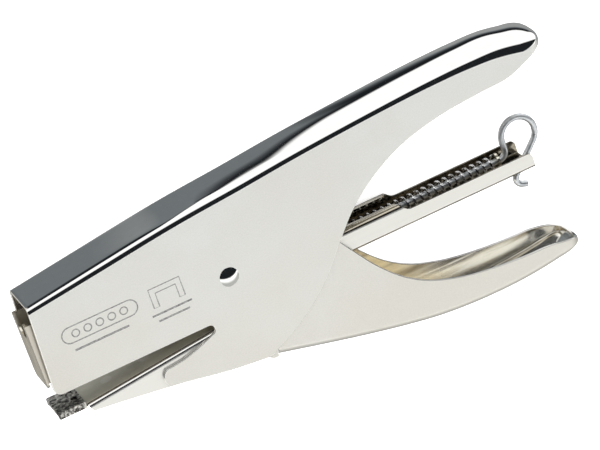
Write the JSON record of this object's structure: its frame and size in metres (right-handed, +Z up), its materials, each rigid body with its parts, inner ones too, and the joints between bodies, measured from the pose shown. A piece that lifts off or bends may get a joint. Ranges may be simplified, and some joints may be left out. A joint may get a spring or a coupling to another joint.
{
  "type": "plier stapler",
  "caption": "Hand-held plier stapler with a C-shaped sheet-metal shell, squeezed lower handle, swinging staple magazine and a spring-loaded pull ring at the rear.",
  "frame": {"origin": "middle of the footprint, on the outer face of the lower side plate", "axes": "the stapler lies on its side: +X runs along the magazine to the pull ring, +Y towards the spine of the upper shell, +Z up through the two side plates, parallel to the pivot rivet"},
  "size_m": [0.182, 0.0788, 0.021],
  "materials": {
    "plated_shell": "satin nickel side plates with a mirror-bright spine",
    "plated_handle": "satin nickel outside, mirror-bright inside",
    "plated_magazine": "satin nickel walls with polished lips",
    "plated_inner": "plain plated steel",
    "hardened": "hardened steel, ground",
    "bright": "polished",
    "galvanised": "zinc-plated wire",
    "spring_steel": "drawn spring wire"
  },
  "bodies": {
    "shell": {"upper_shell": "plated_shell", "anvil_arm": "plated_inner", "anvil": "hardened", "anvil_rivets": "bright", "pivot_rivet": "bright", "pivot_sleeve": "bright", "pivot_washers": "bright", "return_spring": "spring_steel"},
    "lever": {"lower_handle": "plated_handle", "hammer_block": "plated_inner", "hammer_rivets": "bright", "driver_blade": "hardened", "driver_rivets": "bright", "spring_pin": "bright", "magazine_leaf": "spring_steel", "leaf_rivet": "bright"},
    "magazine": {"magazine_channel": "plated_magazine", "nosepiece": "plated_magazine", "staple_strip": "galvanised"},
    "pull_rod": {"pull_rod": "galvanised", "rod_collar": "galvanised", "spring_seat": "galvanised", "feed_spring": "spring_steel"},
    "pusher": {"pusher_shoe": "plated_inner", "pusher_block": "plated_inner"}
  },
  "joints": [
    {"name": "handle_hinge", "type": "hinge", "parent": "shell", "child": "lever", "pos_m": [-0.0274, 0.00589, 0.01], "axis": [0, 0, 1], "range_deg": [0, 14], "stiffness_Nm_per_rad": 1.2, "springref_deg": -20.05, "deforming": ["return_spring", "magazine_leaf"]},
    {"name": "magazine_hinge", "type": "hinge", "parent": "shell", "child": "magazine", "pos_m": [-0.0274, 0.00589, 0.01], "axis": [0, 0, 1], "range_deg": [0, 7]},
    {"name": "rod_slide", "type": "slide", "parent": "magazine", "child": "pull_rod", "axis": [1, 0, 0], "range_m": [0, 0.12]},
    {"name": "pusher_slide", "type": "slide", "parent": "pull_rod", "child": "pusher", "axis": [1, 0, 0], "range_m": [0, 0.03], "stiffness_N_per_m": 40, "springref_m": -0.05, "deforming": ["feed_spring"]}
  ],
  "couplings": [
    {"joint": "magazine_hinge", "follows": "handle_hinge", "ratio": 0.5}
  ]
}
